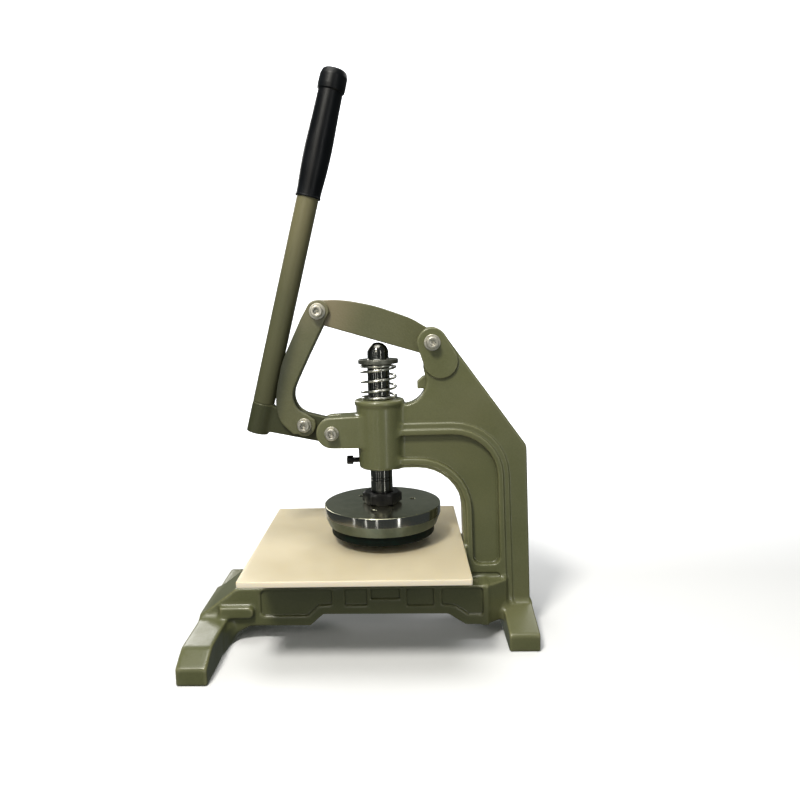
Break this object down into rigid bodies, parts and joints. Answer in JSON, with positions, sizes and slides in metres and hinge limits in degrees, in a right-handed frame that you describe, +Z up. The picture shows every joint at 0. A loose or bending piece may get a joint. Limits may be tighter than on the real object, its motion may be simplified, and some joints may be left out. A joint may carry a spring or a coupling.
{
  "type": "hand lever press",
  "caption": "Hand lever press on a cross-footed base: a toggle linkage drives a sprung ram and round press plate down onto a loose board.",
  "frame": {"origin": "on the floor, at the middle of the base's length and width", "axes": "+X towards the column at the back of the press, -X towards the operator, +Y across to the far side, +Z up"},
  "size_m": [0.378, 0.26, 0.6275],
  "materials": {
    "enamel": "olive green hammered enamel, semi-gloss",
    "board_plastic": "cream cutting board plastic, satin",
    "grip_rubber": "blue-black glossy rubber",
    "polished_steel": "ground and polished",
    "collar_steel": "dark turned steel",
    "spring_wire": "bright spring wire",
    "ground_steel": "fine ground, polished rim",
    "black_oxide": "black oxide",
    "pad_rubber": "dark green pad",
    "bronze": "oiled bronze",
    "zinc": "bright zinc plate"
  },
  "bodies": {
    "frame": {"frame_casting": "enamel", "ram_bush_lower": "bronze", "ram_bush_upper": "bronze", "guide_set_screw": "black_oxide", "return_spring": "spring_wire", "lever_pivot_screw": "zinc", "lever_pivot_washer_front": "zinc", "lever_pivot_washer_back": "zinc", "lever_pivot_nut": "zinc", "arm_pivot_screw": "zinc", "arm_pivot_washer_front": "zinc", "arm_pivot_washer_back": "zinc", "arm_pivot_nut": "zinc"},
    "lever": {"lever_crank": "enamel", "handle_tube": "enamel", "handle_stud": "zinc", "hand_grip": "grip_rubber", "lever_pivot_bush": "bronze", "lever_link_bush": "bronze", "lever_link_screw": "zinc", "lever_link_washer_front": "zinc", "lever_link_washer_back": "zinc", "lever_link_nut": "zinc"},
    "arm": {"top_arm": "enamel", "arm_pivot_bush": "bronze", "arm_link_bush": "bronze", "arm_link_screw": "zinc", "arm_link_washer_front": "zinc", "arm_link_washer_back": "zinc", "arm_link_nut": "zinc"},
    "links": {"link_plate_front": "enamel", "link_plate_back": "enamel"},
    "ram": {"ram": "polished_steel", "spring_collar": "collar_steel", "collar_grub_screw": "black_oxide", "press_disc": "ground_steel", "press_pad": "pad_rubber", "pad_screw_1": "black_oxide", "pad_screw_2": "black_oxide", "pad_screw_3": "black_oxide", "lock_nut": "black_oxide"},
    "board": {"cutting_board": "board_plastic"}
  },
  "joints": [
    {"name": "lever_pull", "type": "hinge", "parent": "frame", "child": "lever", "pos_m": [-0.0329, 0, 0.2353], "axis": [0, -1, 0], "range_deg": [0, 43]},
    {"name": "arm_swing", "type": "hinge", "parent": "frame", "child": "arm", "pos_m": [0.0812, 0, 0.3334], "axis": [0, -1, 0], "range_deg": [0, 10.5]},
    {"name": "link_swing", "type": "hinge", "parent": "arm", "child": "links", "pos_m": [-0.0442, 0, 0.3713], "axis": [0, 1, 0], "range_deg": [0, 8]},
    {"name": "ram_slide", "type": "slide", "parent": "frame", "child": "ram", "axis": [0, 0, -1], "range_m": [0, 0.01035], "stiffness_N_per_m": 2400, "springref_m": -0.034, "deforming": ["return_spring"]},
    {"name": "board_slide", "type": "slide", "parent": "frame", "child": "board", "axis": [-1, 0, 0], "range_m": [0, 0.12]}
  ],
  "couplings": [
    {"joint": "arm_swing", "follows": "lever_pull", "ratio": 0.24},
    {"joint": "link_swing", "follows": "lever_pull", "ratio": 0.1795},
    {"joint": "ram_slide", "follows": "lever_pull", "m_per_rad": 0.01374}
  ]
}
